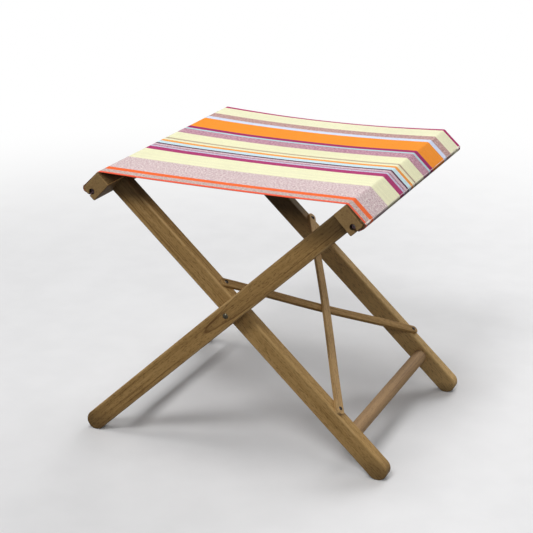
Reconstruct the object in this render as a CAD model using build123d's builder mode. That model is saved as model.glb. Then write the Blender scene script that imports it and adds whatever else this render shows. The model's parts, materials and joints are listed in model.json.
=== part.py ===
from build123d import *

import os
from math import atan, atan2, cos, hypot, radians, sin, sqrt, tan

# A backless folding stool: two wooden leg frames cross at a pair of riveted pivots, and a
# striped canvas seat hangs between their top rails. The outer frame leans towards +X at the
# top and the inner frame towards -X. Millimetres, +Z up, origin on the floor below the pivot.

# Open stance
lean = 43.0  # degrees between a leg and the floor
leg_below_pivot = 332.0  # pivot to the end of the foot, along the leg
rail_above_pivot = 279.0  # pivot to the top face of the rail, along the leg

# Legs
leg_width = 31.0  # across the leg, in the plane it swings in
leg_thickness = 20.0
leg_edge_radius = 3.0
foot_flat = 10.0  # length of the flat worn on each rounded foot

# Top rails
rail_height = 25.0  # along the leg
rail_depth = 38.0  # across the leg
rail_end = 4.0  # rail end to the canvas edge
rail_overhang = 21.0  # rail end to the outer face of the outer leg
rail_edge_radius = 2.0  # long edges
rail_wrap_radius = 5.0  # long edge that the canvas turns round on its way to the groove
rail_end_radius = 1.5  # edges of the end faces
groove_below_top = 13.0  # top face to the middle of the keyhole groove
groove_from_back = 8.5  # back face to the middle of the keyhole groove

# Tenons of the legs in the rails
mortise_floor = 7.0  # rail wood left above the tenon
tenon_cheek = 4.0  # leg thickness cut away on each side of the tenon
tenon_shoulder = 5.0  # least leg width cut away above and below the tenon
groove_wall = 3.0  # wood left between mortise and groove
glue_gap = 0.1

# Round stretchers near the feet
stretcher_diameter = 22.0
stretcher_above_foot = 78.0  # end of the foot to the middle of the stretcher
stretcher_tenon_diameter = 15.0
socket_floor = 5.0  # leg wood left behind the stretcher's socket

# Crossed braces on the inner legs
brace_width = 14.0
brace_thickness = 5.0
brace_end = 10.0  # screw to the end of the brace
brace_above_pivot = 37.0  # pivot to the upper screws
brace_above_stretcher = 41.0  # middle of the stretcher to the lower screws
brace_crossing_gap = 0.2
brace_edge_radius = 1.2

# Brace screws
screw_shank = 3.5
screw_depth = 15.0  # thread in the leg
screw_head_diameter = 6.5
screw_head_height = 1.9
screw_slot_width = 0.8
screw_slot_depth = 0.8
screw_hole_gap = 0.05

# Pivot rivets and their washers
rivet_diameter = 6.0
rivet_head_diameter = 9.0
rivet_head_height = 2.6
rivet_peen_diameter = 8.4
rivet_peen_height = 1.6
rivet_running_gap = 0.05
spacer_diameter = 18.0
spacer_thickness = 3.0
burr_diameter = 14.0
burr_thickness = 1.2
side_play = 0.1  # free play of each leg pair along its rivet

# Canvas seat and the rods in its hems
canvas_width = 430.0
canvas_thickness = 1.0
canvas_clearance = 0.3
canvas_sag = 4.0
canvas_slot_gap = 0.75  # canvas to each side of the slot
span_lead = 6.0  # straight stretch of canvas beside the top corner
rod_diameter = 5.5
rod_inset = 5.0  # rod end to canvas edge

# Places that follow from the sizes above
cos_lean = cos(radians(lean))
sin_lean = sin(radians(lean))
foot_radius = leg_width / 2
foot_centre = leg_below_pivot - foot_radius
pivot_height = foot_centre * sin_lean + sqrt(foot_radius**2 - (foot_flat / 2) ** 2)

upper_face = leg_width / 2  # upper face of legs and rails, measured across the leg
rail_underside = rail_above_pivot - rail_height
rail_back = upper_face - rail_depth

rail_length = canvas_width + 2 * rail_end
outer_leg_outside = rail_length / 2 - rail_overhang
outer_leg_middle = outer_leg_outside - leg_thickness / 2
outer_leg_inside = outer_leg_outside - leg_thickness
inner_leg_outside = outer_leg_inside - spacer_thickness - side_play
inner_leg_middle = inner_leg_outside - leg_thickness / 2
inner_leg_inside = inner_leg_outside - leg_thickness

groove_along = rail_above_pivot - groove_below_top
groove_across = rail_back + groove_from_back
groove_radius = rod_diameter / 2 + canvas_thickness + 2 * canvas_clearance
groove_slot = 2 * (canvas_thickness + canvas_slot_gap)

tenon_length = rail_height - mortise_floor
tenon_top = upper_face - tenon_shoulder
tenon_bottom = max(groove_across + groove_radius + groove_wall, tenon_shoulder - upper_face)
tenon_thickness = leg_thickness - 2 * tenon_cheek

stretcher_below_pivot = leg_below_pivot - stretcher_above_foot
brace_below_pivot = stretcher_below_pivot - brace_above_stretcher

# Signs that pick a frame and an end of the stool
outer_side = 1  # the outer frame's rail is at +X
inner_side = -1
front_end = -1  # the front legs are at -Y
rear_end = 1
both_sides = (outer_side, inner_side)
both_ends = (front_end, rear_end)


def frame_point(side, along, across, y):
    """Point of a leg frame: along the leg from the pivot, across it towards its upper face."""
    x = side * (along * cos_lean - across * sin_lean)
    z = pivot_height + along * sin_lean + across * cos_lean
    return (x, y, z)


def frame_plane(side, y=0.0):
    """Plane of a leg frame: local x runs up the leg and local y towards its upper face."""
    return Plane(
        origin=(0, y, pivot_height),
        x_dir=(side * cos_lean, 0, sin_lean),
        z_dir=(0, -side, 0),
    )


def keep(piece, label):
    """Name a finished piece and write it to its own file."""
    piece.part.label = label
    export_step(piece.part, f"parts/{label}.step")


def make_leg(side, end, middle, pilot_places=()):
    """Leg at y = end * middle, with its tenon, pivot hole, stretcher socket and screw pilots."""
    y = end * middle
    inner_face = end * (middle - leg_thickness / 2)
    outwards = -side * end
    with BuildPart() as leg:
        with BuildSketch(frame_plane(side, y)):
            with Locations((-foot_centre, 0)):
                Circle(foot_radius)
            with Locations(((rail_underside - foot_centre) / 2, 0)):
                Rectangle(rail_underside + foot_centre, leg_width)
        extrude(amount=leg_thickness / 2, both=True)
        leg_axis = Axis(frame_point(side, 0, 0, y), (side * cos_lean, 0, sin_lean))
        outline = leg.edges().filter_by(Axis.Y, reverse=True).group_by(leg_axis)[:-1]
        fillet([edge for group in outline for edge in group], leg_edge_radius)
        split(bisect_by=Plane.XY, keep=Keep.TOP)
        with BuildSketch(frame_plane(side, y)):
            with Locations((rail_underside + tenon_length / 2, (tenon_top + tenon_bottom) / 2)):
                Rectangle(tenon_length, tenon_top - tenon_bottom)
        extrude(amount=tenon_thickness / 2, both=True)
        with BuildSketch(frame_plane(side, y)):
            Circle(rivet_diameter / 2 + rivet_running_gap)
        extrude(amount=leg_thickness, both=True, mode=Mode.SUBTRACT)
        with BuildSketch(frame_plane(side, inner_face)):
            with Locations((-stretcher_below_pivot, 0)):
                Circle(stretcher_tenon_diameter / 2 + glue_gap)
        extrude(amount=outwards * (leg_thickness - socket_floor), mode=Mode.SUBTRACT)
        if pilot_places:
            across = Plane(
                origin=frame_point(side, 0, upper_face, y),
                x_dir=(side * cos_lean, 0, sin_lean),
                z_dir=(-side * sin_lean, 0, cos_lean),
            )
            with BuildSketch(across):
                with Locations(*[(along, 0) for along in pilot_places]):
                    Circle(screw_shank / 2 + screw_hole_gap)
            extrude(amount=-screw_depth - glue_gap, mode=Mode.SUBTRACT)
    return leg


def make_rail(side, leg_middle):
    """Top rail with the keyhole groove for the canvas hem and the mortises of its two legs."""
    with BuildPart() as rail:
        with BuildSketch(frame_plane(side)):
            with BuildLine():
                FilletPolyline(
                    (rail_above_pivot, rail_back),
                    (rail_above_pivot, upper_face),
                    (rail_underside, upper_face),
                    (rail_underside, rail_back),
                    radius=(rail_wrap_radius, rail_edge_radius, rail_edge_radius, rail_edge_radius),
                    close=True,
                )
            make_face()
        extrude(amount=rail_length / 2, both=True)
        fillet(rail.faces().filter_by(Axis.Y).edges(), rail_end_radius)
        with BuildSketch(frame_plane(side)):
            with Locations((groove_along, groove_across)):
                Circle(groove_radius)
            with Locations((groove_along, groove_across - groove_from_back)):
                Rectangle(groove_slot, 2 * groove_from_back)
        extrude(amount=rail_length, both=True, mode=Mode.SUBTRACT)
        for y in (-leg_middle, leg_middle):
            with BuildSketch(frame_plane(side, y)):
                with Locations((rail_underside, (tenon_top + tenon_bottom) / 2)):
                    Rectangle(
                        2 * (tenon_length + glue_gap),
                        tenon_top - tenon_bottom + 2 * glue_gap,
                    )
            extrude(amount=tenon_thickness / 2 + glue_gap, both=True, mode=Mode.SUBTRACT)
    return rail


def make_stretcher(side, leg_inside):
    """Round stretcher between the inside faces of two legs, with a turned tenon at each end."""
    tenon_reach = leg_inside + leg_thickness - socket_floor - glue_gap
    with BuildPart() as stretcher:
        with BuildSketch(frame_plane(side)):
            with Locations((-stretcher_below_pivot, 0)):
                Circle(stretcher_diameter / 2)
        extrude(amount=leg_inside, both=True)
        with BuildSketch(frame_plane(side)):
            with Locations((-stretcher_below_pivot, 0)):
                Circle(stretcher_tenon_diameter / 2)
        extrude(amount=tenon_reach, both=True)
    return stretcher


# The braces lie on the upper faces of the inner legs and cross halfway.
brace_rise = brace_above_pivot + brace_below_pivot
brace_reach = hypot(brace_rise, 2 * inner_leg_middle)  # screw to screw
brace_flat = brace_end + leg_thickness * brace_reach / (2 * inner_leg_middle)
brace_length = brace_reach + 2 * brace_end
brace_bow = (brace_thickness + brace_crossing_gap) / 2  # each gives way by half at the crossing


def brace_plane(top_end):
    """Plane of a brace on the legs' upper faces, local x towards its upper end at y = top_end."""
    middle_along = (brace_above_pivot - brace_below_pivot) / 2
    return Plane(
        origin=frame_point(inner_side, middle_along, upper_face, 0),
        x_dir=(-brace_rise * cos_lean, 2 * top_end * inner_leg_middle, brace_rise * sin_lean),
        z_dir=(sin_lean, 0, cos_lean),
    )


def make_brace(top_end, bow):
    """Thin round-ended slat that bows by bow at its middle and lies flat on the legs."""
    plan = brace_plane(top_end)
    profile = Plane(origin=plan.origin, x_dir=plan.x_dir, z_dir=-plan.y_dir)
    half = brace_length / 2
    bend = half - brace_flat
    with BuildPart() as brace:
        with BuildSketch(profile):
            with BuildLine():
                for level in (0, brace_thickness):
                    Line((-half, level), (-bend, level))
                    Spline(
                        (-bend, level),
                        (0, level + bow),
                        (bend, level),
                        tangents=((1, 0), (1, 0)),
                    )
                    Line((bend, level), (half, level))
                Line((-half, 0), (-half, brace_thickness))
                Line((half, 0), (half, brace_thickness))
            make_face()
        extrude(amount=brace_width / 2, both=True)
        with BuildSketch(plan):
            SlotOverall(brace_length, brace_width)
        extrude(amount=brace_length, both=True, mode=Mode.INTERSECT)
        top = brace.faces().filter_by(lambda face: face.normal_at().dot(plan.z_dir) > 0.9)
        crosswise = Axis(plan.origin, plan.y_dir)
        fillet(top.edges().filter_by(crosswise, reverse=True), brace_edge_radius)
        with BuildSketch(plan):
            with Locations((-brace_reach / 2, 0), (brace_reach / 2, 0)):
                Circle(screw_shank / 2 + screw_hole_gap)
        extrude(amount=2 * brace_thickness, both=True, mode=Mode.SUBTRACT)
    return brace


def dome(base, rise, radius):
    """Arc of a domed end, from its rim at (base, radius) to its tip on the axis."""
    ball = (radius**2 + rise**2) / (2 * abs(rise))
    way = 1 if rise > 0 else -1
    half_angle = atan2(radius, ball - abs(rise)) / 2
    middle = base + rise - way * ball * (1 - cos(half_angle))
    ThreePointArc((base, radius), (middle, ball * sin(half_angle)), (base + rise, 0))


# Distances from the middle plane to the faces of the rivets and washers
burr_outside = inner_leg_inside - side_play
burr_inside = burr_outside - burr_thickness
spacer_outside = outer_leg_inside
spacer_inside = spacer_outside - spacer_thickness


def make_rivet(end):
    """Pivot rivet through a leg pair: a domed head outside and a peened end over the burr."""
    axis_plane = Plane(origin=(0, 0, pivot_height), x_dir=(0, end, 0), z_dir=(end, 0, 0))
    shank = rivet_diameter / 2
    head = rivet_head_diameter / 2
    peen = rivet_peen_diameter / 2
    with BuildPart() as rivet:
        with BuildSketch(axis_plane):
            with BuildLine():
                dome(outer_leg_outside, rivet_head_height, head)
                Polyline(
                    (outer_leg_outside, head),
                    (outer_leg_outside, shank),
                    (burr_inside, shank),
                    (burr_inside, peen),
                )
                dome(burr_inside, -rivet_peen_height, peen)
                Line((burr_inside - rivet_peen_height, 0), (outer_leg_outside + rivet_head_height, 0))
            make_face()
        revolve(axis=Axis((0, 0, pivot_height), (0, 1, 0)))
    return rivet


def make_washer(end, inside, outside, diameter):
    """Flat washer on a pivot rivet between two distances from the middle plane."""
    face = Plane(origin=(0, end * inside, pivot_height), x_dir=(1, 0, 0), z_dir=(0, end, 0))
    with BuildPart() as washer:
        with BuildSketch(face):
            Circle(diameter / 2)
            Circle(rivet_diameter / 2 + rivet_running_gap, mode=Mode.SUBTRACT)
        extrude(amount=outside - inside)
    return washer


def make_brace_screws():
    """The wood screws at the ends of the two braces, as one group of separate solids."""
    shank = screw_shank / 2
    head = screw_head_diameter / 2
    tip = -brace_thickness - screw_depth
    with BuildPart() as screw:
        with BuildSketch(Plane(origin=(0, 0, 0), x_dir=(0, 0, 1), z_dir=(0, 1, 0))):
            with BuildLine():
                dome(0, screw_head_height, head)
                Polyline((0, head), (0, shank), (tip + screw_shank, shank), (tip, 0))
                Line((tip, 0), (screw_head_height, 0))
            make_face()
        revolve(axis=Axis.Z)
        with BuildSketch(Plane.XY.offset(screw_head_height)):
            Rectangle(screw_head_diameter, screw_slot_width)
        extrude(amount=-screw_slot_depth, mode=Mode.SUBTRACT)
    places = []
    for top_end in both_ends:
        seat = brace_plane(top_end).offset(brace_thickness)
        for way in (-1, 1):
            places.append(seat.location * Location((way * brace_reach / 2, 0, 0)))
    with BuildPart() as brace_screws:
        with Locations(*places):
            add(screw.part)
    return brace_screws


# Middle line of the canvas: it leaves the slot, goes round the back and top corners of the
# rail, and hangs to the other rail in a shallow arc.
canvas_offset = canvas_clearance + canvas_thickness / 2
wrap_bend = rail_wrap_radius + canvas_offset
corner_bend = rail_edge_radius + canvas_offset
canvas_neck = 2 * canvas_thickness
half_span = rail_above_pivot * cos_lean - upper_face * sin_lean
sag_slope = 2 * atan(canvas_sag / half_span)
top_turn = radians(90 - lean) + sag_slope


def section_point(side, along, across):
    """Point of a leg frame seen from the front, as (x, z)."""
    x, _, z = frame_point(side, along, across, 0)
    return (x, z)


def hem_path(side):
    """Corner points of the canvas from the slot to the start of the open span."""
    top_line = rail_above_pivot + canvas_offset
    back_line = rail_back - canvas_offset
    corner = upper_face - rail_edge_radius + corner_bend * tan(top_turn / 2)
    x, z = section_point(side, top_line, corner)
    lead = corner_bend * tan(top_turn / 2) + span_lead
    return [
        section_point(side, groove_along - canvas_neck / 2, back_line),
        section_point(side, top_line, back_line),
        (x, z),
        (x - side * lead * cos(sag_slope), z - lead * sin(sag_slope)),
    ]


def make_canvas():
    """Seat canvas in one piece, with a loop at each hem that closes round its rod."""
    start = hem_path(outer_side)[-1]
    lowest = start[1] - start[0] * tan(sag_slope / 2)
    loop_radius = rod_diameter / 2 + canvas_clearance
    neck_length = groove_from_back + canvas_offset
    with BuildPart() as canvas:
        with BuildSketch(Plane.XZ):
            with BuildLine():
                for side in both_sides:
                    FilletPolyline(*hem_path(side), radius=(wrap_bend, corner_bend))
                ThreePointArc(start, (0, lowest), hem_path(inner_side)[-1])
            trace(line_width=canvas_thickness)
            for side in both_sides:
                with Locations(section_point(side, groove_along, groove_across - neck_length / 2)):
                    Rectangle(neck_length, canvas_neck, rotation=90 + side * lean)
            with Locations(*[section_point(side, groove_along, groove_across) for side in both_sides]):
                Circle(loop_radius + canvas_thickness)
                Circle(loop_radius, mode=Mode.SUBTRACT)
        extrude(amount=canvas_width / 2, both=True)
    return canvas


def make_hem_rod(side):
    """Rod that keeps the canvas hem in the keyhole groove."""
    with BuildPart() as rod:
        with BuildSketch(frame_plane(side)):
            with Locations((groove_along, groove_across)):
                Circle(rod_diameter / 2)
        extrude(amount=canvas_width / 2 - rod_inset, both=True)
    return rod


os.makedirs("parts", exist_ok=True)

brace_screw_places = (brace_above_pivot, -brace_below_pivot)
for end, place in ((front_end, "front"), (rear_end, "rear")):
    keep(make_leg(outer_side, end, outer_leg_middle), f"outer_leg_{place}")
    keep(make_leg(inner_side, end, inner_leg_middle, brace_screw_places), f"inner_leg_{place}")
    keep(make_rivet(end), f"pivot_rivet_{place}")
    keep(make_washer(end, spacer_inside, spacer_outside, spacer_diameter), f"pivot_spacer_{place}")
    keep(make_washer(end, burr_inside, burr_outside, burr_diameter), f"rivet_burr_{place}")

for side, frame, middle, inside in (
    (outer_side, "outer", outer_leg_middle, outer_leg_inside),
    (inner_side, "inner", inner_leg_middle, inner_leg_inside),
):
    keep(make_rail(side, middle), f"{frame}_top_rail")
    keep(make_stretcher(side, inside), f"{frame}_stretcher")
    keep(make_hem_rod(side), f"{frame}_hem_rod")

keep(make_brace(front_end, -brace_bow), "brace_under")
keep(make_brace(rear_end, brace_bow), "brace_over")
keep(make_brace_screws(), "brace_screws")
keep(make_canvas(), "seat_canvas")
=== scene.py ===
import json
import math

import bpy
from mathutils import Matrix, Vector, noise


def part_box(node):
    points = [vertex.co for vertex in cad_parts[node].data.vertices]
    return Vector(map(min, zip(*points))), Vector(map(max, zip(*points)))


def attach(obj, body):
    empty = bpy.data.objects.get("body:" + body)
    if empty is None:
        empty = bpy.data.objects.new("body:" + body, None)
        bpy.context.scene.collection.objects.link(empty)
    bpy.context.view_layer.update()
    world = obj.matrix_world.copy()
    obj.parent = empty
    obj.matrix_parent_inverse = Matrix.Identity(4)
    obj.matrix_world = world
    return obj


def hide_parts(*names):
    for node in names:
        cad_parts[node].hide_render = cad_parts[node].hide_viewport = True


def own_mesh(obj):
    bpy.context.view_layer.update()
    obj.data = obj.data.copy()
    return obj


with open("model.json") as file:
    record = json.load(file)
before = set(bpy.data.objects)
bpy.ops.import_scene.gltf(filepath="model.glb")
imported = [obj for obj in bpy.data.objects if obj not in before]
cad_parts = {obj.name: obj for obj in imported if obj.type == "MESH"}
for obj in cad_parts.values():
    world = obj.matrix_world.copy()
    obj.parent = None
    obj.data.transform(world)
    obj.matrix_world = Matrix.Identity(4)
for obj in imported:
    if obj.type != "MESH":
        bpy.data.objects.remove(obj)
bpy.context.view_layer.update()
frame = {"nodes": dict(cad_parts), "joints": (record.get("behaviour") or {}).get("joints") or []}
cadNodes = frame["nodes"]
print("frame loaded with", len(cadNodes), "pieces")

# The two leg frames swing about one pivot line and lean by the same angle when the stool is open
stance = {
    "lean": math.radians(43.0),  # between a leg and the floor
    "pivot": Vector(frame["joints"][0]["pos_m"]),
    "sides": {"outer": 1, "inner": -1},  # which way each frame leans at the top
}
widthways = Vector((0, 1, 0))  # along the rails and stretchers


def legUp(side):
    return Vector((side * math.cos(stance["lean"]), 0, math.sin(stance["lean"])))


def legFace(side):
    return Vector((-side * math.sin(stance["lean"]), 0, math.cos(stance["lean"])))


def reach(node, direction):
    # lowest and highest distance of a piece from the pivot, along a direction
    spans = [(v.co - stance["pivot"]).dot(direction) for v in cadNodes[node].data.vertices]
    return min(spans), max(spans)


def sectionPoint(side, along, across, y):
    return stance["pivot"] + legUp(side) * along + legFace(side) * across + widthways * y


# Small helpers for node trees
def feed(tree, node, inputs):
    # another node's output is linked, and a plain value is set on the socket itself
    for key, value in inputs.items():
        if isinstance(value, bpy.types.NodeSocket):
            tree.links.new(value, node.inputs[key])
        else:
            node.inputs[key].default_value = value


def put(tree, kind, inputs=None, **settings):
    node = tree.nodes.new(kind)
    for key, value in settings.items():
        setattr(node, key, value)
    feed(tree, node, inputs or {})
    return node


def calc(tree, operation, a, b=0.0):
    return put(tree, "ShaderNodeMath", {0: a, 1: b}, operation=operation).outputs[0]


def vectorCalc(tree, operation, a, b=(0, 0, 0)):
    node = put(tree, "ShaderNodeVectorMath", {0: a, 1: b}, operation=operation)
    return node.outputs["Value" if operation in ("DOT_PRODUCT", "LENGTH") else "Vector"]


def scaled(tree, vector, factor):
    inputs = {0: vector, "Scale": factor}
    return put(tree, "ShaderNodeVectorMath", inputs, operation="SCALE").outputs["Vector"]


def cloud(tree, vector, scale=(1, 1, 1), detail=2.0, roughness=0.5):
    place = vectorCalc(tree, "MULTIPLY", vector, scale)
    inputs = {"Vector": place, "Scale": 1.0, "Detail": detail, "Roughness": roughness}
    return put(tree, "ShaderNodeTexNoise", inputs).outputs[0]


def remap(tree, value, low, high, toLow=0.0, toHigh=1.0):
    inputs = {0: value, 1: low, 2: high, 3: toLow, 4: toHigh}
    return put(tree, "ShaderNodeMapRange", inputs, interpolation_type="SMOOTHSTEP").outputs[0]


def dice(tree, number):
    # one random value for each whole number
    return put(tree, "ShaderNodeTexWhiteNoise", {"W": number}, noise_dimensions="1D").outputs[0]


def blendColour(tree, share, first, second, mode="MIX"):
    inputs = {0: share, 6: first, 7: second}
    return put(tree, "ShaderNodeMix", inputs, data_type="RGBA", blend_type=mode).outputs[2]


def ramp(tree, factor, stops, interpolation="LINEAR"):
    node = put(tree, "ShaderNodeValToRGB", {0: factor})
    bar = node.color_ramp
    bar.interpolation = interpolation
    while len(bar.elements) < len(stops):
        bar.elements.new(1.0)
    for element, (position, colour) in zip(bar.elements, stops):
        element.position = position
        element.color = colour
    return node.outputs[0]


def bumped(tree, height, strength, depth):
    inputs = {"Height": height, "Strength": strength, "Distance": depth}
    return put(tree, "ShaderNodeBump", inputs).outputs["Normal"]


def seenDirectly(tree):
    # 1 for the camera, reflections and clear pieces, 0 for light on its way to something else
    light = put(tree, "ShaderNodeLightPath").outputs
    direct = calc(tree, "MAXIMUM", light["Is Camera Ray"], light["Is Glossy Ray"])
    return calc(tree, "MAXIMUM", direct, light["Is Transmission Ray"])


def paint(red, green, blue):
    # an sRGB colour as a painter reads it, 0 to 255, made linear
    channels = [value / 255 for value in (red, green, blue)]
    linear = [c / 12.92 if c <= 0.04045 else ((c + 0.055) / 1.055) ** 2.4 for c in channels]
    return (*linear, 1.0)


def newMaterial(name):
    material = bpy.data.materials.new(name)
    material.use_nodes = True
    tree = material.node_tree
    return material, tree, tree.nodes["Principled BSDF"]


def dress(node, material):
    for slot in cadNodes[node].material_slots:
        slot.material = material


def addToScene(name, data):
    obj = bpy.data.objects.new(name, data)
    bpy.context.scene.collection.objects.link(obj)
    return obj


def plainMesh(obj):
    # turns what the modifiers make into the object's own mesh
    graph = bpy.context.evaluated_depsgraph_get()
    mesh = bpy.data.meshes.new_from_object(obj.evaluated_get(graph))
    obj.modifiers.clear()
    obj.data = mesh


# Oiled hardwood, greyed a little by weather: rings round a pith beside the piece, fibres, pores, edges
# painted paler as wear and as a painted highlight, and painted shade under the canvas, near the floor and
# on the rails. Four numbers in a row are a range and what it is turned into.
wood = {
    "tones": [(0.0, paint(108, 78, 44)), (0.45, paint(174, 138, 85)), (0.95, paint(206, 170, 113))],
    "fleck": paint(84, 56, 32),
    "worn": paint(206, 172, 118),
    "endGrain": paint(134, 112, 80),
    "bare": paint(182, 152, 124),
    "grimeAndShade": paint(52, 40, 27),
    "noises": {  # scale along and across the grain, detail and roughness
        "wobble": ((6, 14, 14), 2.0, 0.5),
        "blotch": ((4.5, 26, 26), 3.0, 0.6),
        "streak": ((2.2, 120, 120), 2.0, 0.5),
        "grainLine": ((4, 330, 330), 2.0, 0.5),
        "fibre": ((17, 460, 460), 4.0, 0.62),
        "pore": ((150, 860, 860), 2.0, 0.5),
        "edgePatch": ((30, 90, 90), 3.0, 0.5),
    },
    "lightness": {  # range of a noise, and how much lighter the wood is at its high end
        "fibre": (0.25, 0.75, 0.2),
        "blotch": (0.2, 0.8, 0.12),
        "streak": (0.25, 0.75, 0.18),
        "grainLine": (0.58, 0.7, -0.28),
    },
    "ringWander": 0.0045,
    "ringProfile": [(0.0, 0.05), (0.5, 0.1), (0.878, 0.35), (0.92, 1.0), (0.95, 0.05)],
    "ringFaintest": 0.5,
    "ringSpread": 0.8,  # how much darker the darkest ring is than the faintest
    "poreRange": (0.53, 0.67),
    "poreShare": 0.46,
    "edgeRange": (0.7, 0.95),  # from the middle of a face, 0, to its edge, 1
    "edgePatchRange": (0.35, 0.65, 0.2, 0.75),
    "endRange": (0.7, 0.98, 0.0, 0.5),  # how squarely a face looks along the grain
    "fibreRough": (0.2, 0.8, 0.68, 0.54),
    "poreRough": 0.15,
    "fibreRelief": 0.7,
    "poreRelief": 0.6,
    "ringRelief": 0.2,
    "bumpStrength": 0.6,
    "bumpDepth": 0.00025,
    "gloss": 0.1,
    "dirtAndShade": 0.62,  # share of darkening at the feet, as floor dirt and painted shade
    "dirtAndShadeFrom": 0.002,  # heights between which that darkening fades out
    "dirtAndShadeTo": 0.05,
    "dirtAndShadePatches": (0.2, 0.7, 0.5, 1.0),
    "railFaces": (0.3, 0.65),  # how squarely a face looks up or down
    "railShade": 0.72,
    "grooveIn": 0.0043,  # distances from the rod's middle, at the groove's wall
    "grooveOut": 0.0049,
}


def makeWoodFigure():
    group = bpy.data.node_groups.new("woodFigure", "ShaderNodeTree")
    sockets = group.interface
    sockets.new_socket("Grain", in_out="INPUT", socket_type="NodeSocketVector")
    log = ["Pith Side", "Pith Face", "Pith Tilt", "Ring Width", "Ring Depth", "Seed"]
    finish = ["Tone", "Bare", "Half Side", "Half Face", "End Share", "Painted Shade Share"]
    darkening = ["Dirt And Shade To", "Canvas Shade", "Canvas Shade From", "Canvas Shade To"]
    for name in log + finish + darkening:
        sockets.new_socket(name, in_out="INPUT", socket_type="NodeSocketFloat")
    sockets.new_socket("Color", in_out="OUTPUT", socket_type="NodeSocketColor")
    for name in ("Roughness", "Height"):
        sockets.new_socket(name, in_out="OUTPUT", socket_type="NodeSocketFloat")

    given = put(group, "NodeGroupInput").outputs
    along, side, face = put(group, "ShaderNodeSeparateXYZ", {0: given["Grain"]}).outputs
    shift = put(group, "ShaderNodeCombineXYZ", {axis: given["Seed"] for axis in range(3)}).outputs[0]
    moved = vectorCalc(group, "ADD", given["Grain"], shift)
    noises = {name: cloud(group, moved, *look) for name, look in wood["noises"].items()}

    # rings are circles round the pith, which leans away from the stick
    lean = calc(group, "MULTIPLY", along, given["Pith Tilt"])
    fromSide = calc(group, "SUBTRACT", calc(group, "SUBTRACT", side, given["Pith Side"]), lean)
    fromFace = calc(group, "SUBTRACT", face, given["Pith Face"])
    sideSquare = calc(group, "MULTIPLY", fromSide, fromSide)
    faceSquare = calc(group, "MULTIPLY", fromFace, fromFace)
    radius = calc(group, "SQRT", calc(group, "ADD", sideSquare, faceSquare))
    bend = calc(group, "MULTIPLY", calc(group, "SUBTRACT", noises["wobble"], 0.5), wood["ringWander"])
    phase = calc(group, "DIVIDE", calc(group, "ADD", radius, bend), given["Ring Width"])
    profile = [(place, (level, level, level, 1)) for place, level in wood["ringProfile"]]
    ringLine = ramp(group, calc(group, "FRACT", phase), profile)
    ringMood = calc(group, "MULTIPLY", dice(group, calc(group, "FLOOR", phase)), wood["ringSpread"])
    ring = calc(group, "MULTIPLY", ringLine, calc(group, "ADD", ringMood, wood["ringFaintest"]))
    pore = remap(group, noises["pore"], *wood["poreRange"])

    lightness = calc(group, "SUBTRACT", given["Tone"], calc(group, "MULTIPLY", ring, given["Ring Depth"]))
    for name, (low, high, weight) in wood["lightness"].items():
        part = calc(group, "MULTIPLY", remap(group, noises[name], low, high), weight)
        lightness = calc(group, "ADD", lightness, part)
    colour = ramp(group, lightness, wood["tones"])
    colour = blendColour(group, calc(group, "MULTIPLY", pore, wood["poreShare"]), colour, wood["fleck"])

    # sawn ends drink more oil, the rails get their painted shade, and the edges are painted paler,
    # partly as wear from hands and weather and partly as a painted highlight where the rounded edges
    # catch light
    colour = blendColour(group, given["Bare"], colour, wood["bare"])
    colour = blendColour(group, given["End Share"], colour, wood["endGrain"])
    colour = blendColour(group, given["Painted Shade Share"], colour, wood["grimeAndShade"])
    acrossSide = calc(group, "DIVIDE", calc(group, "ABSOLUTE", side), given["Half Side"])
    acrossFace = calc(group, "DIVIDE", calc(group, "ABSOLUTE", face), given["Half Face"])
    edge = remap(group, calc(group, "MINIMUM", acrossSide, acrossFace), *wood["edgeRange"])
    edgePatch = remap(group, noises["edgePatch"], *wood["edgePatchRange"])
    colour = blendColour(group, calc(group, "MULTIPLY", edge, edgePatch), colour, wood["worn"])

    # darker near the floor, as floor dirt and painted shade, and painted shade under the cloth
    coords = put(group, "ShaderNodeTexCoord").outputs["Object"]
    height = put(group, "ShaderNodeSeparateXYZ", {0: coords}).outputs[2]
    dirtAndShade = remap(group, height, wood["dirtAndShadeFrom"], given["Dirt And Shade To"], wood["dirtAndShade"], 0.0)
    dirtAndShadeShare = calc(group, "MULTIPLY", dirtAndShade, remap(group, noises["blotch"], *wood["dirtAndShadePatches"]))
    colour = blendColour(group, dirtAndShadeShare, colour, wood["grimeAndShade"])
    canvasShadeRamp = remap(group, height, given["Canvas Shade From"], given["Canvas Shade To"])
    canvasShadeShare = calc(group, "MULTIPLY", canvasShadeRamp, given["Canvas Shade"])
    colour = blendColour(group, canvasShadeShare, colour, wood["grimeAndShade"])

    rough = remap(group, noises["fibre"], *wood["fibreRough"])
    rough = calc(group, "ADD", rough, calc(group, "MULTIPLY", pore, wood["poreRough"]))
    relief = calc(group, "MULTIPLY", noises["fibre"], wood["fibreRelief"])
    relief = calc(group, "SUBTRACT", relief, calc(group, "MULTIPLY", pore, wood["poreRelief"]))
    relief = calc(group, "SUBTRACT", relief, calc(group, "MULTIPLY", ring, wood["ringRelief"]))
    put(group, "NodeGroupOutput", {"Color": colour, "Roughness": rough, "Height": relief})
    return group


woodFigure = makeWoodFigure()


def railPaintedShade(tree, coords, normal, rod):
    # painted shade on a rail's long faces, under the cloth and in the shade, and inside its groove
    upways = calc(tree, "ABSOLUTE", vectorCalc(tree, "DOT_PRODUCT", normal, (0, 0, 1)))
    longFaces = remap(tree, upways, *wood["railFaces"], 0.0, wood["railShade"])
    low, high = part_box(rod)
    fromRod = vectorCalc(tree, "SUBTRACT", coords, (low + high) / 2)
    distance = vectorCalc(tree, "LENGTH", vectorCalc(tree, "CROSS_PRODUCT", fromRod, widthways))
    groove = remap(tree, distance, wood["grooveIn"], wood["grooveOut"], 1.0, 0.0)
    return calc(tree, "MAXIMUM", longFaces, groove)


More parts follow.
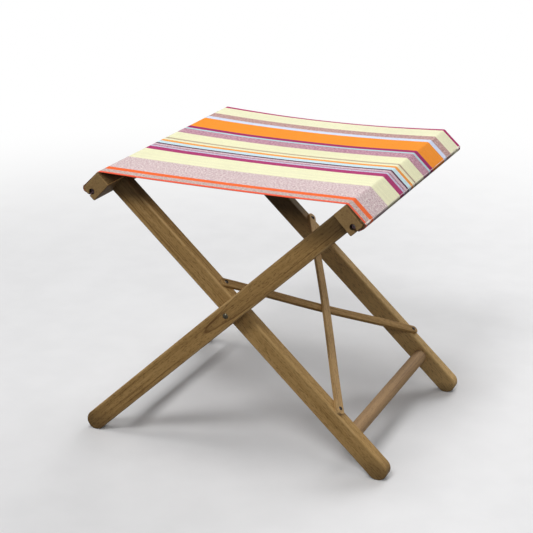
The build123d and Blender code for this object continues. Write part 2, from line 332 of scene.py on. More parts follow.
def makeWood(node, along, face, look):
    # the grain runs along one direction, and the piece's own box gives the middle and the edges
    axes = {"along": along, "side": face.cross(along), "face": face}
    spans = {name: reach(node, axis) for name, axis in axes.items()}
    half = {name: (high - low) / 2 for name, (low, high) in spans.items()}
    centre = stance["pivot"].copy()
    for name, axis in axes.items():
        centre += axis * sum(spans[name]) / 2
    turn = Matrix(list(axes.values())).transposed().to_euler()

    material, tree, shader = newMaterial(node + "_wood")
    texture = put(tree, "ShaderNodeTexCoord").outputs
    coords = texture["Object"]
    normal = texture["Normal"]
    mapping = put(tree, "ShaderNodeMapping", {0: coords, 1: centre, 2: turn}, vector_type="TEXTURE")
    endways = calc(tree, "ABSOLUTE", vectorCalc(tree, "DOT_PRODUCT", normal, along))
    # a rail gets painted shade on its long faces and inside its groove
    darkening = 0.0
    if node.endswith("_top_rail"):
        darkening = railPaintedShade(tree, coords, normal, node.replace("_top_rail", "_hem_rod"))
    edgeReach = look.get("edgeReach", 1.0)
    # painted shade under the canvas: its strength and the heights between which it darkens
    canvasShade, canvasShadeFrom, canvasShadeTo = look.get("canvasShade", (0.0, 0.0, 1.0))
    figure = put(tree, "ShaderNodeGroup", node_tree=woodFigure)
    feed(tree, figure, {
        "Grain": mapping.outputs[0],
        "Pith Side": look["pith"][0],
        "Pith Face": look["pith"][1],
        "Pith Tilt": look["tilt"],
        "Ring Width": look["ring"],
        "Ring Depth": look["depth"],
        "Seed": look["seed"],
        "Tone": look["tone"],
        "Bare": look.get("bare", 0.0),
        "Half Side": half["side"] * edgeReach,
        "Half Face": half["face"] * edgeReach,
        "End Share": remap(tree, endways, *wood["endRange"]),
        "Painted Shade Share": darkening,
        "Dirt And Shade To": look.get("dirtAndShadeTo", wood["dirtAndShadeTo"]),
        "Canvas Shade": canvasShade,
        "Canvas Shade From": canvasShadeFrom,
        "Canvas Shade To": canvasShadeTo,
    })
    feed(tree, shader, {
        "Base Color": figure.outputs["Color"],
        "Roughness": figure.outputs["Roughness"],
        "Normal": bumped(tree, figure.outputs["Height"], wood["bumpStrength"], wood["bumpDepth"]),
        "Specular IOR Level": wood["gloss"],
    })
    dress(node, material)


# Each stick is sawn from its own place in the log: pith beside it, its tilt, ring width and tone.
# the painted shade under the canvas comes as a strength and the heights between which it darkens, bare is
# a share of dry unoiled wood, and an edgeReach over 1 leaves the edges without their paler wear and
# painted highlight
sticks = {
    "outer_leg_front": {
        "pith": (0.0314, 0.0),
        "tilt": -0.017,
        "ring": 0.00704,
        "depth": 0.45,
        "seed": 1.3,
        "tone": 0.24,
        "canvasShade": (0.7, 0.342, 0.387),
    },
    "outer_leg_rear": {
        "pith": (-0.05, 0.02),
        "tilt": 0.012,
        "ring": 0.0034,
        "depth": 0.14,
        "seed": 2.1,
        "tone": 0.26,
        "canvasShade": (0.88, 0.245, 0.29),
    },
    "inner_leg_front": {
        "pith": (0.018, 0.06),
        "tilt": 0.008,
        "ring": 0.0036,
        "depth": 0.08,
        "seed": 3.7,
        "tone": 0.33,
        "canvasShade": (0.76, 0.368, 0.394),
    },
    "inner_leg_rear": {
        "pith": (-0.03, -0.05),
        "tilt": 0.015,
        "ring": 0.0031,
        "depth": 0.08,
        "seed": 4.9,
        # its tone is set far lighter than the other legs' as painted light, standing in for light that
        # reaches it
        "tone": 0.86,
        "bare": 0.05,
        "dirtAndShadeTo": 0.02,
        "canvasShade": (0.88, 0.245, 0.29),
    },
    "outer_top_rail": {
        "pith": (0.09, 0.012),
        "tilt": 0.006,
        "ring": 0.0028,
        "depth": 0.16,
        "seed": 5.3,
        "tone": 0.24,
        "edgeReach": 1.5,
    },
    "inner_top_rail": {
        "pith": (-0.08, -0.01),
        "tilt": 0.008,
        "ring": 0.0029,
        "depth": 0.16,
        "seed": 6.1,
        "tone": 0.24,
        "edgeReach": 1.5,
    },
    "outer_stretcher": {
        "pith": (0.05, 0.03),
        "tilt": 0.01,
        "ring": 0.003,
        "depth": 0.08,
        "seed": 7.7,
        "tone": 0.15,
        "bare": 0.45,
        "edgeReach": 4.0,
    },
    "inner_stretcher": {
        "pith": (0.03, -0.05),
        "tilt": 0.014,
        "ring": 0.0032,
        "depth": 0.08,
        "seed": 8.2,
        "tone": 0.15,
        "bare": 0.45,
        "edgeReach": 4.0,
    },
    "brace_under": {
        "pith": (0.05, 0.03),
        "tilt": 0.01,
        "ring": 0.0026,
        "depth": 0.1,
        "seed": 9.4,
        "tone": 0.14,
    },
    "brace_over": {
        "pith": (-0.04, 0.05),
        "tilt": 0.012,
        "ring": 0.0028,
        "depth": 0.1,
        "seed": 10.6,
        "tone": 0.52,
        "bare": 0.2,
        "canvasShade": (0.6, 0.28, 0.325),
    },
}


def braceWay(node):
    # a brace rises from one inner leg to the other, so its ends give its direction
    points = [v.co for v in cadNodes[node].data.vertices]
    lowEnd = min(points, key=lambda p: p.z)
    highEnd = max(points, key=lambda p: p.z)
    return (highEnd - lowEnd).normalized()


for node, look in sticks.items():
    side = stance["sides"]["outer" if node.startswith("outer") else "inner"]
    face = legFace(side)
    along = widthways
    if "leg" in node:
        along = legUp(side)
    elif "brace" in node:
        way = braceWay(node)
        along = (way - face * way.dot(face)).normalized()
    makeWood(node, along, face, look)
print("wood on", len(sticks), "sticks")


# Metal that has gone dull: clean metal shows through a darker skin, with fine scratches
dullMetal = {
    "patch": ((420, 420, 420), 4.0, 0.6),  # scale, detail and roughness of the noise
    "scratch": ((2600, 500, 2600), 2.0, 0.5),
    "roughRange": (0.3, 0.7),
    "bumpStrength": 0.35,
    "bumpDepth": 0.00008,
}
metals = {
    "rivet_metal": {
        "clean": paint(124, 114, 88),
        "skin": paint(58, 55, 47),
        "skinRange": (0.25, 0.5),
        "rough": (0.14, 0.28),
        "nodes": [
            part + end
            for part in ("pivot_rivet", "pivot_spacer", "rivet_burr")
            for end in ("_front", "_rear")
        ],
    },
    "screw_steel": {
        "clean": paint(104, 98, 92),
        "skin": paint(44, 37, 32),
        "skinRange": (0.3, 0.55),
        "rough": (0.45, 0.7),
        "nodes": ["brace_screws"],
    },
    "rod_steel": {
        "clean": paint(168, 168, 166),
        "skin": paint(96, 88, 80),
        "skinRange": (0.4, 0.75),
        "rough": (0.3, 0.45),
        "nodes": ["outer_hem_rod", "inner_hem_rod"],
    },
}


def makeMetal(name, look):
    material, tree, shader = newMaterial(name + "_finish")
    coords = put(tree, "ShaderNodeTexCoord").outputs["Object"]
    patch = cloud(tree, coords, *dullMetal["patch"])
    scratch = cloud(tree, coords, *dullMetal["scratch"])
    skin = remap(tree, patch, *look["skinRange"])
    feed(tree, shader, {
        "Base Color": blendColour(tree, skin, look["clean"], look["skin"]),
        "Roughness": remap(tree, patch, *dullMetal["roughRange"], *look["rough"]),
        "Normal": bumped(tree, scratch, dullMetal["bumpStrength"], dullMetal["bumpDepth"]),
        "Metallic": 1.0,
    })
    for node in look["nodes"]:
        dress(node, material)


for name, look in metals.items():
    makeMetal(name, look)
print("metal on rivets, washers, screws and rods")


# Striped canvas: warp stripes from the front edge to the rear edge, width in millimetres, and the two
# yarns that alternate in each
stripes = [
    ("coral selvedge", 5, (250, 100, 70), (250, 100, 70)),
    ("grey heather", 12, (156, 126, 128), (242, 222, 212)),
    ("red orange", 12, (252, 112, 54), (252, 112, 54)),
    ("wide mauve heather", 60, (178, 128, 142), (255, 248, 242)),
    ("wide primrose", 51, (247, 245, 206), (247, 245, 206)),
    ("plum", 16, (176, 56, 112), (180, 66, 120)),
    ("pale lavender", 5, (176, 172, 204), (232, 232, 244)),
    ("mauve", 4, (140, 70, 108), (222, 190, 204)),
    ("pale pink", 7, (188, 152, 166), (244, 226, 230)),
    ("dark plum line", 6, (84, 30, 60), (92, 38, 68)),
    ("pale sky", 11, (210, 239, 247), (210, 239, 247)),
    ("tan orange", 8, (247, 164, 78), (247, 164, 78)),
    ("primrose", 8, (246, 243, 206), (246, 243, 206)),
    ("tan line", 5, (186, 166, 142), (186, 166, 142)),
    ("primrose", 36, (247, 245, 204), (247, 245, 204)),
    ("mauve heather", 25, (146, 66, 104), (234, 196, 206)),
    ("pale sky", 7, (190, 220, 226), (190, 220, 226)),
    ("plum", 11, (162, 38, 100), (166, 46, 106)),
    ("wide orange", 56, (255, 155, 48), (255, 155, 48)),
    ("pale blue", 14, (218, 228, 254), (226, 236, 255)),
    ("taupe heather", 21, (150, 90, 95), (234, 204, 194)),
    ("primrose", 40, (247, 245, 208), (247, 245, 208)),
    ("plum selvedge", 10, (181, 48, 110), (181, 48, 110)),
]
weave = {
    "warpPitch": 0.00055,
    "weftPitch": 0.0008,
    "everySecond": 0.35,  # share of a stripe's second yarn in every other warp; the rest is in flecks
    "fleck": ((300, 440, 1), 3.0, 0.8),  # scale, detail and roughness of the noise
    "fleckRange": (0.36, 0.64),
    "dirtAndShade": paint(136, 124, 128),
    "turnShadeReach": (-0.0146, -0.0094),  # along the cloth, before the groove
    "turnShadeAtEnds": (0.022, 0.04, 0.35, 1.0),  # distances from a rail's end, and the shares of that painted shade there
    "turnedReach": (-0.053, -0.045),  # along the cloth, where it turns over the rail
    "wrapShade": 0.11,  # share of painted shade from there on
    "grooveGrey": paint(150, 145, 154),
    "grooveGreyReach": (-0.002, 0.003, 0.0, 0.8),  # at the groove
    "rimColour": paint(150, 121, 86),
    "rimReach": (0.0001, 0.0004, 0.9, 0.0),  # painted shade on the rims of the layers, at the rails' ends
    "yarnShade": (0.0, 1.0, 0.93, 1.02),
    "slubScale": 90.0,
    "slubShade": (0.3, 0.7, -0.05, 0.05),
    "fade": ((9, 9, 9), 3.0, 0.5),
    "fadeShade": (0.3, 0.7, -0.03, 0.02),
    "crossing": 0.35,  # share of the relief that alternates from thread to thread
    "reliefShade": (-0.2, 0.7, 0.88, 1.04),
    "reliefRough": (0.0, 1.0, 0.92, 0.78),
    "bumpStrength": 0.5,
    "bumpDepth": 0.00018,
    "gloss": 0.08,
    "sheen": 0.03,
    "sheenRough": 0.5,
}

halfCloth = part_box("seat_canvas")[1].y
railTop = reach("outer_top_rail", legUp(1))[1]
railBack, railFace = reach("outer_top_rail", legFace(1))
rodLow, rodHigh = reach("outer_hem_rod", legUp(1))
rodAlong = (rodLow + rodHigh) / 2
rodAcross = sum(reach("outer_hem_rod", legFace(1))) / 2
rodRadius = (rodHigh - rodLow) / 2
halfSpan = railTop * math.cos(stance["lean"]) - railFace * math.sin(stance["lean"])
hemStart = halfSpan + railFace - railBack + railTop - rodAlong  # along the cloth, middle to groove


def makeCanvasCloth():
    material, tree, shader = newMaterial("striped_canvas")
    cloth = put(tree, "ShaderNodeUVMap", uv_map="cloth").outputs[0]
    along, across = put(tree, "ShaderNodeSeparateXYZ", {0: cloth}).outputs[:2]

    total = sum(stripe[1] for stripe in stripes)
    starts = [sum(stripe[1] for stripe in stripes[:k]) / total for k in range(len(stripes))]
    place = calc(tree, "DIVIDE", calc(tree, "ADD", across, halfCloth), 2 * halfCloth)
    warp = ramp(tree, place, [(s, paint(*stripe[2])) for s, stripe in zip(starts, stripes)], "CONSTANT")
    mate = ramp(tree, place, [(s, paint(*stripe[3])) for s, stripe in zip(starts, stripes)], "CONSTANT")

    yarn = calc(tree, "DIVIDE", across, weave["warpPitch"])
    pick = calc(tree, "DIVIDE", along, weave["weftPitch"])
    yarnNumber = calc(tree, "FLOOR", yarn)
    odd = calc(tree, "GREATER_THAN", calc(tree, "FLOORED_MODULO", yarnNumber, 2.0), 0.5)
    fleck = remap(tree, cloud(tree, cloth, *weave["fleck"]), *weave["fleckRange"])
    oddShare = calc(tree, "MULTIPLY", odd, weave["everySecond"])
    fleckShare = calc(tree, "MULTIPLY", fleck, 1 - weave["everySecond"])
    colour = blendColour(tree, calc(tree, "ADD", oddShare, fleckShare), warp, mate)

    # painted shade darkens the cloth where it turns under above the groove, less near the rails' ends,
    # and a little over all the cloth turned over the rail; the hem in its groove is painted grey, and the
    # rims of the layers get painted shade in brown
    depth = calc(tree, "SUBTRACT", calc(tree, "ABSOLUTE", along), hemStart)
    fromEnd = calc(tree, "SUBTRACT", halfCloth, calc(tree, "ABSOLUTE", across))
    turned = remap(tree, depth, *weave["turnedReach"])
    dirtAndShade = remap(tree, depth, *weave["turnShadeReach"])
    dirtAndShade = calc(tree, "MULTIPLY", dirtAndShade, remap(tree, fromEnd, *weave["turnShadeAtEnds"]))
    dirtAndShade = calc(tree, "MAXIMUM", dirtAndShade, calc(tree, "MULTIPLY", turned, weave["wrapShade"]))
    colour = blendColour(tree, dirtAndShade, colour, weave["dirtAndShade"], "MULTIPLY")
    colour = blendColour(tree, remap(tree, depth, *weave["grooveGreyReach"]), colour, weave["grooveGrey"])
    rim = calc(tree, "MULTIPLY", turned, remap(tree, fromEnd, *weave["rimReach"]))
    colour = blendColour(tree, rim, colour, weave["rimColour"])

    # every yarn is spun a little lighter or darker, with slubs along it
    slubAlong = calc(tree, "MULTIPLY", along, weave["slubScale"])
    slub = cloud(tree, put(tree, "ShaderNodeCombineXYZ", {0: slubAlong, 1: yarnNumber}).outputs[0])
    fade = cloud(tree, cloth, *weave["fade"])
    shade = remap(tree, dice(tree, yarnNumber), *weave["yarnShade"])
    shade = calc(tree, "ADD", shade, remap(tree, slub, *weave["slubShade"]))
    shade = calc(tree, "ADD", shade, remap(tree, fade, *weave["fadeShade"]))

    # plain weave: warp and weft pass over and under each other, with painted shade in the hollows between
    # the threads and a slight painted highlight on their crests
    warpWave = calc(tree, "SINE", calc(tree, "MULTIPLY", yarn, math.pi))
    weftWave = calc(tree, "SINE", calc(tree, "MULTIPLY", pick, math.pi))
    crossing = calc(tree, "MULTIPLY", calc(tree, "MULTIPLY", warpWave, weftWave), weave["crossing"])
    ridge = calc(tree, "MULTIPLY", calc(tree, "ABSOLUTE", warpWave), 1 - weave["crossing"])
    relief = calc(tree, "ADD", crossing, ridge)
    shade = calc(tree, "MULTIPLY", shade, remap(tree, relief, *weave["reliefShade"]))
    grey = put(tree, "ShaderNodeCombineColor", {channel: shade for channel in range(3)}).outputs[0]

    feed(tree, shader, {
        "Base Color": blendColour(tree, 1.0, colour, grey, "MULTIPLY"),
        "Roughness": remap(tree, relief, *weave["reliefRough"]),
        "Normal": bumped(tree, relief, weave["bumpStrength"], weave["bumpDepth"]),
        "Specular IOR Level": weave["gloss"],
        "Sheen Weight": weave["sheen"],
        "Sheen Roughness": weave["sheenRough"],
    })
    return material


canvasCloth = makeCanvasCloth()

# The seat in section: the raw end is folded under on top of the rail, then the cloth goes down behind
# the rail, round the rod in its groove, back out as the outer layer, over the rail and across to the
# other frame
seat = {
    "thickness": 0.0007,
    "layerGap": 0.00005,
    "railEdge": 0.002,  # radius of the rail's long edges
    "wrapEdge": 0.005,  # radius of the rail's edge above the groove
    "hemPuff": (0.0008, 0.0032),  # how far the outer layer stands off that edge, upwards and backwards
    "hemBend": 0.0056,  # radius of the outer layer there
    "topBend": 0.004,  # radius of the cloth over the top edge
    "topGap": 0.00015,  # room under the cloth at the top edge
    "slotUp": 0.0006,  # inner layer to the middle of the slot
    "slotBend": 0.0006,
    "rodArc": (-130, -410),  # degrees, where the cloth meets and leaves the rod
    "hemFoot": 0.0055,  # raw end of the hem, above the rail's back face
    "hemFold": 0.0095,  # fold of the hem, above the rail's back face
    "hemTuck": 0.0015,  # how far the hem's ends are drawn in along the groove
    "rearLift": 0.0008,  # slack of the outer layer over the hem at the rear end
    "frontSag": 0.0013,
    "middleSag": 0.0042,
    "rearSag": 0.006,
    "edgeCurl": 0.0008,
    "curlWidth": 0.012,
    "ripple": 0.0005,
    "ripplePlace": (60, 16, 4.2),  # noise scale across the stool and along the rails, and its seed
    "splitLead": 0.0008,  # seam line between the wrapped and the hanging cloth, past the top bend
    "foldTuck": 0.0035,  # slope of the folded cloth towards its own legs
    "foldKeep": 0.002,  # share of its height that the folded cloth keeps
    "sharpAngle": math.radians(60),
    "rows": 56,
    "spanColumns": 26,
    "rodSteps": 14,
    "innerSteps": 6,
    "outerSteps": 8,
}
ply = seat["thickness"] + seat["layerGap"]
firstMiddle = seat["layerGap"] + seat["thickness"] / 2
hemLayers = [firstMiddle + k * ply for k in range(3)]  # middles of the layers, from the rail outwards


def roundedPath(corners, radii, steps):
    # straight runs joined by arcs, one radius for each inner corner
    path = [corners[0]]
    for before, corner, after, radius in zip(corners, corners[1:], corners[2:], radii):
        back = (before - corner).normalized()
        ahead = (after - corner).normalized()
        opening = back.angle(ahead) / 2
        centre = corner + (back + ahead).normalized() * radius / math.sin(opening)
        first = corner + back * radius / math.tan(opening) - centre
        last = corner + ahead * radius / math.tan(opening) - centre
        for step in range(steps + 1):
            path.append(centre + first.lerp(last, step / steps).normalized() * radius)
    path.append(corners[-1])
    return path


def arcPoints(centre, radius, start, finish, steps):
    # degrees from the along direction towards the across direction
    points = []
    for step in range(steps + 1):
        angle = math.radians(start + (finish - start) * step / steps)
        points.append(centre + Vector((math.cos(angle), math.sin(angle))) * radius)
    return points


def hemCorner(lift):
    # where the outer layer turns from behind the rail to its top
    along, across = seat["hemPuff"]
    return Vector((railTop + hemLayers[2] + lift + along, railBack - hemLayers[1] - across))


def clothSection(slope, lift):
    # points (along, across) from the raw end of the hem to the start of the open span
    first, second, _ = hemLayers
    puffAlong, puffAcross = seat["hemPuff"]
    turn = rodRadius + first
    slotInner = rodAlong + seat["slotUp"]
    slotOuter = slotInner - ply
    slotDeep = rodAcross - turn - seat["thickness"]
    foldMiddle = Vector((railTop + (first + second) / 2, railBack + seat["hemFold"]))
    hemEnd = [Vector((railTop + first, railBack + seat["hemFoot"]))]
    hemEnd += arcPoints(foldMiddle, ply / 2, 180, 0, seat["innerSteps"])
    goingIn = [
        hemEnd[-1],
        Vector((railTop + second + puffAlong / 2, railBack - first - puffAcross / 2)),
        Vector((slotInner, railBack - first)),
        Vector((slotInner, slotDeep)),
    ]
    innerBends = [seat["wrapEdge"] + first, seat["slotBend"]]
    roundRod = arcPoints(Vector((rodAlong, rodAcross)), turn, *seat["rodArc"], seat["rodSteps"])

    offset = seat["topGap"] + seat["thickness"] / 2
    topTurn = math.pi / 2 - stance["lean"] + slope
    corner = railFace - seat["railEdge"] + (seat["railEdge"] + offset) * math.tan(topTurn / 2)
    top = Vector((railTop + offset, corner))
    way = stance["lean"] - slope
    lead = seat["topBend"] * math.tan(topTurn / 2) + seat["splitLead"]
    comingOut = [
        Vector((slotOuter, slotDeep)),
        Vector((slotOuter, railBack - second)),
        hemCorner(lift),
        top,
        top + Vector((-math.cos(way), math.sin(way))) * lead,
    ]
    outerBends = [seat["slotBend"] + ply, seat["hemBend"], seat["topBend"]]
    inner = roundedPath(goingIn, innerBends, seat["innerSteps"])
    outer = roundedPath(comingOut, outerBends, seat["outerSteps"])
    return hemEnd[:-1] + inner + roundRod + outer


def rearLift(y):
    return seat["rearLift"] * max(0.0, y / halfCloth)


def seatSag(y):
    share = y / halfCloth
    level = (seat["frontSag"] + seat["rearSag"]) / 2
    tilt = (seat["rearSag"] - seat["frontSag"]) / 2
    return level + tilt * share + (seat["middleSag"] - level) * (1 - share**2)


def clothRow(y):
    # one crosswise row of the outer half: wrapped points, then hanging points to the middle
    slope = math.atan(2 * seatSag(y) / halfSpan)
    tuckTop = railTop - seat["wrapEdge"]
    wrapped = []
    for p in clothSection(slope, rearLift(y)):
        inside = (tuckTop - p.x) / (tuckTop - rodAlong)
        tuck = seat["hemTuck"] * min(1.0, max(0.0, inside))
        wrapped.append(sectionPoint(1, p.x, p.y, y * (1 - tuck / halfCloth)))
    start = wrapped[-1]
    curl = seat["edgeCurl"] * max(0.0, 1 - (halfCloth - abs(y)) / seat["curlWidth"]) ** 2
    waveAcross, waveAlong, waveSeed = seat["ripplePlace"]
    hanging = []
    for column in range(seat["spanColumns"] + 1):
        x = start.x * (1 - column / seat["spanColumns"])
        free = 1 - (x / start.x) ** 2
        ripple = seat["ripple"] * noise.noise(Vector((x * x * waveAcross, y * waveAlong, waveSeed)))
        drop = free * (start.x * math.tan(slope) / 2 + curl + ripple)
        hanging.append(Vector((x, y, start.z - drop)))
    return wrapped, hanging


def lengthsFromEnd(points, start=0.0):
    # length along a row of points to each of them, counted from the last one
    lengths = [start]
    backwards = points[::-1]
    for before, after in zip(backwards, backwards[1:]):
        lengths.append(lengths[-1] + (after - before).length)
    return lengths[::-1]


def makeCloth(name, rows, lengths, mirrored):
    # a grid of points becomes a sheet with real thickness, its own map in metres and closed edges
    columns = len(rows[0])
    flip = -1 if mirrored else 1
    points = [(flip * p.x, p.y, p.z) for row in rows for p in row]
    faces = []
    for r in range(len(rows) - 1):
        for c in range(columns - 1):
            a = r * columns + c
            faces.append((a, a + columns, a + columns + 1, a + 1))
    mesh = bpy.data.meshes.new(name)
    mesh.from_pydata(points, [], faces)
    uvMap = mesh.uv_layers.new(name="cloth")
    flatLengths = [length for row in lengths for length in row]
    for loop in mesh.loops:
        vertex = loop.vertex_index
        uvMap.data[loop.index].uv = (flip * flatLengths[vertex], points[vertex][1])
    if mirrored:
        mesh.flip_normals()
    mesh.materials.append(canvasCloth)
    obj = addToScene(name, mesh)
    wall = obj.modifiers.new("cloth thickness", "SOLIDIFY")
    wall.thickness = seat["thickness"]
    wall.offset = 0.0
    plainMesh(obj)
    obj.data.shade_smooth()
    obj.data.set_sharp_from_angle(angle=seat["sharpAngle"])
    return obj


rowPlaces = [halfCloth * (2 * r / seat["rows"] - 1) for r in range(seat["rows"] + 1)]
clothRows = [clothRow(y) for y in rowPlaces]
wrappedRows = [wrapped for wrapped, _ in clothRows]
hangingRows = [hanging for _, hanging in clothRows]
hangingLengths = [lengthsFromEnd(row) for row in hangingRows]
wrappedLengths = [lengthsFromEnd(row, hung[0]) for row, hung in zip(wrappedRows, hangingLengths)]

for frameName, side in stance["sides"].items():
    body = frameName + "_frame"
    mirrored = side < 0
    wrap = makeCloth(f"canvas_wrap_{frameName}", wrappedRows, wrappedLengths, mirrored)
    span = makeCloth(f"canvas_span_{frameName}", hangingRows, hangingLengths, mirrored)
    for piece in (wrap, span):
        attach(piece, body)
        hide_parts("seat_canvas")
    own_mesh(span)


# Hem stitching: a row of stitches along each rail, above the turned edge, with short tacks at its ends
stitching = {
    "inputs": {
        "Pitch": 0.005,
        "Stitch Length": 0.0042,
        "Thread Radius": 0.00046,
        "Wander": 0.00012,
        "Slant": 0.05,
        "Tack Length": 0.016,
        "Tack Spread": 0.0008,
        "Tack Pitch": 0.00225,
        "Seed": 7,
    },
    "roundEdge": math.radians(3),  # from the rail's top face round the turned edge
    "fromEnd": 0.002,
    "segments": 8,
    "rings": 6,
    "colour": paint(250, 243, 236),
    "shadow": paint(218, 204, 194),
    "twistScale": 1800.0,
    "twistWander": 2.0,
    "rough": 0.7,
    "bumpStrength": 0.4,
    "bumpDepth": 0.00006,
}


def makeThread():
    material, tree, shader = newMaterial("hem_thread")
    coords = put(tree, "ShaderNodeTexCoord").outputs["Object"]
    inputs = {0: coords, "Scale": stitching["twistScale"], "Distortion": stitching["twistWander"]}
    twist = put(tree, "ShaderNodeTexWave", inputs, bands_direction="DIAGONAL").outputs[1]
    feed(tree, shader, {
        "Base Color": blendColour(tree, twist, stitching["shadow"], stitching["colour"]),
        "Roughness": stitching["rough"],
        "Normal": bumped(tree, twist, stitching["bumpStrength"], stitching["bumpDepth"]),
    })
    return material


def makeStitchTree():
    tree = bpy.data.node_groups.new("hemStitchRow", "GeometryNodeTree")
    sockets = tree.interface
    sockets.new_socket("Geometry", in_out="OUTPUT", socket_type="NodeSocketGeometry")
    for name in ("Start", "Finish", "Sideways"):
        sockets.new_socket(name, in_out="INPUT", socket_type="NodeSocketVector")
    for name, value in stitching["inputs"].items():
        kind = "NodeSocketInt" if isinstance(value, int) else "NodeSocketFloat"
        sockets.new_socket(name, in_out="INPUT", socket_type=kind)
    sockets.new_socket("Thread", in_out="INPUT", socket_type="NodeSocketMaterial")

    given = put(tree, "NodeGroupInput").outputs
    start = given["Start"]
    finish = given["Finish"]
    onward = vectorCalc(tree, "NORMALIZE", vectorCalc(tree, "SUBTRACT", finish, start))
    tack = scaled(tree, onward, given["Tack Length"])
    tacks = [
        (start, vectorCalc(tree, "ADD", start, tack)),
        (vectorCalc(tree, "SUBTRACT", finish, tack), finish),
    ]
    runs = [(start, finish, given["Pitch"])]
    for sign in (-1.0, 1.0):
        aside = scaled(tree, given["Sideways"], calc(tree, "MULTIPLY", given["Tack Spread"], sign))
        for ends in tacks:
            low, high = [vectorCalc(tree, "ADD", end, aside) for end in ends]
            runs.append((low, high, given["Tack Pitch"]))
    row = put(tree, "GeometryNodeJoinGeometry")
    for low, high, pitch in runs:
        inputs = {"Start Location": low, "Offset": high, "Resolution": pitch}
        line = put(tree, "GeometryNodeMeshLine", inputs, mode="END_POINTS", count_mode="RESOLUTION")
        tree.links.new(line.outputs[0], row.inputs[0])

    ball = {"Segments": stitching["segments"], "Rings": stitching["rings"], "Radius": 1.0}
    stitch = put(tree, "GeometryNodeMeshUVSphere", ball)
    radius = given["Thread Radius"]
    halfStitch = calc(tree, "MULTIPLY", given["Stitch Length"], 0.5)
    size = put(tree, "ShaderNodeCombineXYZ", {0: radius, 1: halfStitch, 2: radius})
    spread = {0: (-1, -1, -1), 1: (1, 1, 1), "Seed": given["Seed"]}
    drift = put(tree, "FunctionNodeRandomValue", spread, data_type="FLOAT_VECTOR").outputs[0]
    wander = scaled(tree, drift, given["Wander"])
    loose = put(tree, "GeometryNodeSetPosition", {"Geometry": row.outputs[0], "Offset": wander})
    sewn = put(tree, "GeometryNodeInstanceOnPoints", {
        "Points": loose.outputs[0],
        "Instance": stitch.outputs[0],
        "Rotation": scaled(tree, drift, given["Slant"]),
        "Scale": size.outputs[0],
    })
    real = put(tree, "GeometryNodeRealizeInstances", {0: sewn.outputs[0]})
    smooth = put(tree, "GeometryNodeSetShadeSmooth", {0: real.outputs[0]})
    dyed = put(tree, "GeometryNodeSetMaterial", {0: smooth.outputs[0], "Material": given["Thread"]})
    put(tree, "NodeGroupOutput", {0: dyed.outputs[0]})
    return tree


def stitchPoint(side, y):
    corner = hemCorner(rearLift(y))
    clothRadius = seat["hemBend"] + seat["thickness"] / 2
    along = corner.x - seat["hemBend"] + clothRadius * math.cos(stitching["roundEdge"])
    across = corner.y + seat["hemBend"] - clothRadius * math.sin(stitching["roundEdge"])
    return sectionPoint(side, along, across, y)


hemThread = makeThread()
stitchTree = makeStitchTree()
stitchReach = halfCloth - stitching["fromEnd"]
for frameName, side in stance["sides"].items():
    obj = addToScene(f"hem_stitches_{frameName}", bpy.data.meshes.new("stitchRow"))
    values = {
        "Start": stitchPoint(side, -stitchReach),
        "Finish": stitchPoint(side, stitchReach),
        "Sideways": legFace(side),
        "Thread": hemThread,
        **stitching["inputs"],
    }
    sewing = obj.modifiers.new("hem stitches", "NODES")
    sewing.node_group = stitchTree
    for item in stitchTree.interface.items_tree:
        if item.in_out == "INPUT":
            sewing[item.identifier] = values[item.name]
    plainMesh(obj)
    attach(obj, frameName + "_frame")


# Pale floor, softboxes round the stool and a camera where the photographer stood
white = paint(255, 255, 255)
studio = {
    "floorSize": 40.0,
    "floorColour": paint(232, 232, 233),  # as the camera sees it
    "floorBounce": paint(106, 106, 112),  # as the stool is lit by it
    "floorMottle": ((14, 14, 14), 4.0, 0.5),  # scale, detail and roughness of the noise
    "mottleRange": (0.3, 0.7),
    "mottleDark": 0.97,
    "floorRough": 0.8,
    "whiteReach": (0.7, 1.9),  # distances from the stool between which the floor fades to white
    "worldStrength": 0.07,
    "lamps": [
        {"name": "softbox front", "place": (-0.24, -2.9, 4.05), "size": 1.3, "watts": 82.0},
        {"name": "softbox low", "place": (1.38, -3.68, 2.62), "size": 1.2, "watts": 28.0},
        {"name": "softbox above", "place": (-0.3, -0.3, 5.2), "size": 2.0, "watts": 90.0},
        {"name": "softbox right", "place": (4.6, 0.8, 2.4), "size": 2.4, "watts": 27.0},
        {"name": "softbox behind", "place": (0.6, 3.2, 2.6), "size": 2.6, "watts": 76.0},
    ],
    "aim": (0, 0, 0.25),
}
camera = {
    "place": (0.8445, -1.9057, 1.0100),
    "azimuth": 24.49,
    "elevation": 20.25,
    "roll": -0.28,
    "lens": 95.06,
    "sensor": 36.0,
}


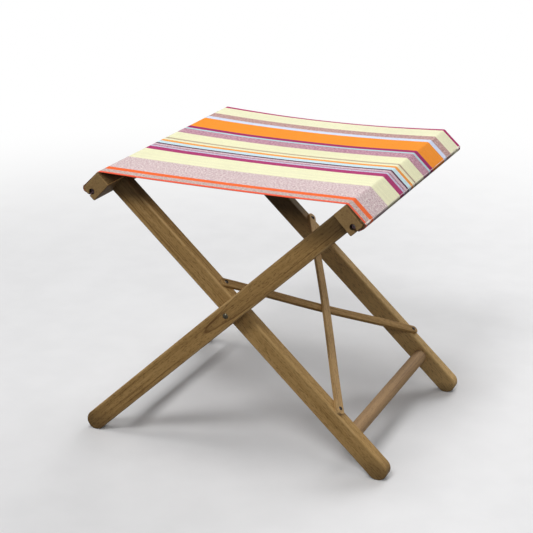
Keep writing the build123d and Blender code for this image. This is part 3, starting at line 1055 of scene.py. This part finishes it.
def makeFloor():
    half = studio["floorSize"] / 2
    corners = [(-half, -half, 0), (half, -half, 0), (half, half, 0), (-half, half, 0)]
    mesh = bpy.data.meshes.new("studio_floor")
    mesh.from_pydata(corners, [], [(0, 1, 2, 3)])
    floor = addToScene("studio_floor", mesh)
    material, tree, shader = newMaterial("pale_floor")
    coords = put(tree, "ShaderNodeTexCoord").outputs["Object"]
    mottle = remap(tree, cloud(tree, coords, *studio["floorMottle"]), *studio["mottleRange"])
    darker = tuple(studio["mottleDark"] * c for c in studio["floorColour"][:3]) + (1.0,)
    pale = blendColour(tree, mottle, darker, studio["floorColour"])
    direct = seenDirectly(tree)
    feed(tree, shader, {
        "Base Color": blendColour(tree, direct, studio["floorBounce"], pale),
        "Roughness": studio["floorRough"],
    })
    far = remap(tree, vectorCalc(tree, "LENGTH", coords), *studio["whiteReach"])
    glow = put(tree, "ShaderNodeEmission", {"Color": white, "Strength": 1.0})
    share = calc(tree, "MULTIPLY", far, direct)
    choice = put(tree, "ShaderNodeMixShader", {0: share, 1: shader.outputs[0], 2: glow.outputs[0]})
    feed(tree, tree.nodes["Material Output"], {"Surface": choice.outputs[0]})
    mesh.materials.append(material)


def makeWorld():
    world = bpy.data.worlds.new("studio_world")
    world.use_nodes = True
    tree = world.node_tree
    sky = tree.nodes["Background"]
    feed(tree, sky, {"Color": white, "Strength": studio["worldStrength"]})
    seen = put(tree, "ShaderNodeBackground", {"Color": white, "Strength": 1.0})
    inputs = {0: seenDirectly(tree), 1: sky.outputs[0], 2: seen.outputs[0]}
    choice = put(tree, "ShaderNodeMixShader", inputs)
    feed(tree, tree.nodes["World Output"], {"Surface": choice.outputs[0]})
    bpy.context.scene.world = world


def makeLamps():
    for look in studio["lamps"]:
        data = bpy.data.lights.new(look["name"], "AREA")
        data.shape = "SQUARE"
        data.size = look["size"]
        data.energy = look["watts"]
        lamp = addToScene(look["name"], data)
        lamp.location = look["place"]
        aim = Vector(studio["aim"]) - Vector(look["place"])
        lamp.rotation_euler = aim.to_track_quat("-Z", "Y").to_euler()


def makeCamera():
    data = bpy.data.cameras.new("stool_camera")
    data.sensor_width = camera["sensor"]
    data.lens = camera["lens"]
    obj = addToScene("stool_camera", data)
    turn = Matrix.Rotation(math.radians(camera["azimuth"]), 4, "Z")
    tilt = Matrix.Rotation(math.radians(90 - camera["elevation"]), 4, "X")
    roll = Matrix.Rotation(math.radians(camera["roll"]), 4, "Z")
    obj.matrix_world = Matrix.Translation(camera["place"]) @ turn @ tilt @ roll
    bpy.context.scene.camera = obj


makeFloor()
makeWorld()
makeLamps()
makeCamera()
bpy.context.scene.view_settings.view_transform = "Standard"
print("studio ready")
